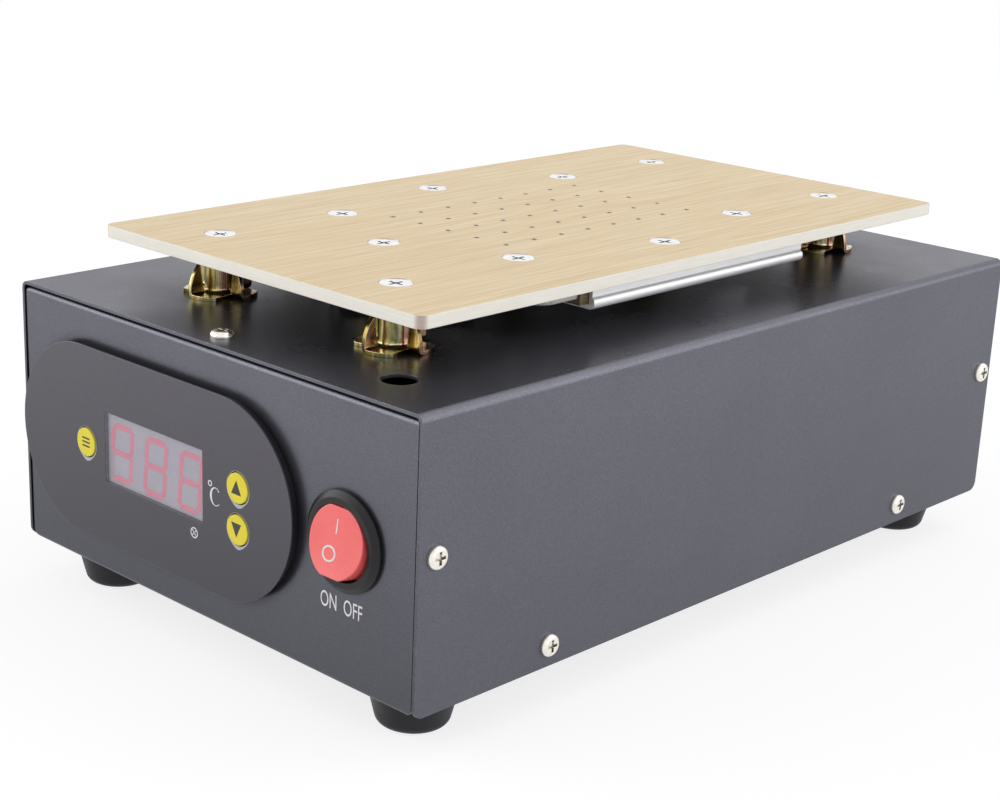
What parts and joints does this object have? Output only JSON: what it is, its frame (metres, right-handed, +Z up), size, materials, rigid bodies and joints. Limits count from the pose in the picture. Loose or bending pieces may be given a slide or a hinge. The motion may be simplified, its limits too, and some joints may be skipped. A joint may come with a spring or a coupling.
{
  "type": "vacuum heating plate",
  "caption": "Bench vacuum heating plate: drilled champagne aluminium plate on tee nuts over a charcoal steel case with a temperature controller, rocker switch and rubber feet",
  "frame": {"origin": "centre of the overall footprint on the bench, under the feet", "axes": "+Z up, -Y towards the controller and switch, +X to the right seen from the front"},
  "size_m": [0.1458, 0.2337, 0.094],
  "materials": {
    "case_paint": "Fine-textured charcoal powder coat on folded steel sheet",
    "screw_nickel": "Nickel-plated steel, pan heads with cross recesses",
    "plate_screw_nickel": "Nickel-plated steel, countersunk heads with cross recesses",
    "screw_zinc": "Bright zinc-plated steel",
    "foot_rubber": "Moulded black rubber, slightly matt",
    "tee_zinc": "Yellow-passivated zinc plate with a faint rainbow tint",
    "plate_gold": "Champagne anodised aluminium, brushed along its length, pale bare edges",
    "chamber_aluminium": "Machined aluminium, bare",
    "gasket_silicone": "Brick-red silicone sheet",
    "brass_fittings": "Turned brass, bright",
    "hose_silicone": "Milky silicone tube",
    "grommet_rubber": "Moulded black rubber",
    "heater_aluminium": "Extruded aluminium shell, natural",
    "heater_core_resin": "Amber insulating film round the heating strip",
    "lead_sleeve": "Off-white woven glass sleeve",
    "bezel_plastic": "Moulded black plastic, matt",
    "film_plastic": "Dark grey printed film, half gloss",
    "display_glass": "Pale lilac tinted window, clear",
    "display_block": "Pale grey display block with red bars",
    "case_plastic": "Moulded black plastic",
    "board_green": "Glass-fibre circuit board with green solder mask",
    "key_yellow": "Moulded bright yellow plastic",
    "switch_plastic": "Moulded black plastic, satin",
    "rocker_red": "Moulded coral red plastic, glossy",
    "blade_tin": "Tinned brass blades and pins",
    "inlet_plastic": "Moulded black plastic, fine texture",
    "fuse_glass": "Clear glass tube between plated end caps",
    "transformer_iron": "Dark varnished iron core with a taped winding",
    "board_part_blue": "Sleeved capacitors, choke and heat sink",
    "motor_steel": "Zinc-plated steel can and bracket",
    "pump_plastic": "Glass-filled black plastic",
    "block_ceramic": "Glazed off-white ceramic"
  },
  "bodies": {
    "housing": {"base_tray": "case_paint", "cover": "case_paint", "side_screws": "screw_nickel", "top_screws": "screw_nickel", "foot_front_left": "foot_rubber", "foot_front_right": "foot_rubber", "foot_rear_left": "foot_rubber", "foot_rear_right": "foot_rubber", "foot_screws": "screw_zinc", "foot_nuts": "screw_zinc", "tee_nut_front_left": "tee_zinc", "tee_nut_front_right": "tee_zinc", "tee_nut_rear_left": "tee_zinc", "tee_nut_rear_right": "tee_zinc", "heating_plate": "plate_gold", "corner_screws": "plate_screw_nickel", "plate_screws": "plate_screw_nickel", "plate_nuts": "screw_zinc", "vacuum_chamber": "chamber_aluminium", "chamber_gasket": "gasket_silicone", "suction_barb": "brass_fittings", "suction_hose": "hose_silicone", "grommets": "grommet_rubber", "heater_shell_left": "heater_aluminium", "heater_shell_right": "heater_aluminium", "heater_core_left": "heater_core_resin", "heater_core_right": "heater_core_resin", "heater_leads_left": "lead_sleeve", "heater_leads_right": "lead_sleeve", "temperature_probe": "brass_fittings", "controller_bezel": "bezel_plastic", "overlay_film": "film_plastic", "display_window": "display_glass", "led_display": "display_block", "controller_case": "case_plastic", "controller_board": "board_green", "key_switches": "case_plastic", "switch_housing": "switch_plastic", "switch_terminals": "blade_tin", "inlet_housing": "inlet_plastic", "inlet_pins": "blade_tin", "inlet_screws": "screw_zinc", "power_board": "board_green", "transformer": "transformer_iron", "board_parts": "board_part_blue", "board_standoffs": "brass_fittings", "board_screws": "screw_zinc", "pump_motor": "motor_steel", "pump_head": "pump_plastic", "pump_bracket": "motor_steel", "pump_screws": "screw_zinc", "terminal_block": "block_ceramic"},
    "rocker_switch": {"rocker": "rocker_red"},
    "set_key": {"set_button": "key_yellow"},
    "up_key": {"up_button": "key_yellow"},
    "down_key": {"down_button": "key_yellow"},
    "fuse_holder": {"fuse_drawer": "inlet_plastic", "fuse": "fuse_glass"}
  },
  "joints": [
    {"name": "power_rocker", "type": "hinge", "parent": "housing", "child": "rocker_switch", "pos_m": [0.049, -0.1131, 0.0452], "axis": [1, 0, 0], "range_deg": [0, 22]},
    {"name": "set_press", "type": "slide", "parent": "housing", "child": "set_key", "axis": [0, 1, 0], "range_m": [0, 0.0006], "stiffness_N_per_m": 400, "springref_m": -0.0005},
    {"name": "up_press", "type": "slide", "parent": "housing", "child": "up_key", "axis": [0, 1, 0], "range_m": [0, 0.0006], "stiffness_N_per_m": 400, "springref_m": -0.0005},
    {"name": "down_press", "type": "slide", "parent": "housing", "child": "down_key", "axis": [0, 1, 0], "range_m": [0, 0.0006], "stiffness_N_per_m": 400, "springref_m": -0.0005},
    {"name": "fuse_drawer_slide", "type": "slide", "parent": "housing", "child": "fuse_holder", "axis": [0, 1, 0], "range_m": [0, 0.012]}
  ]
}
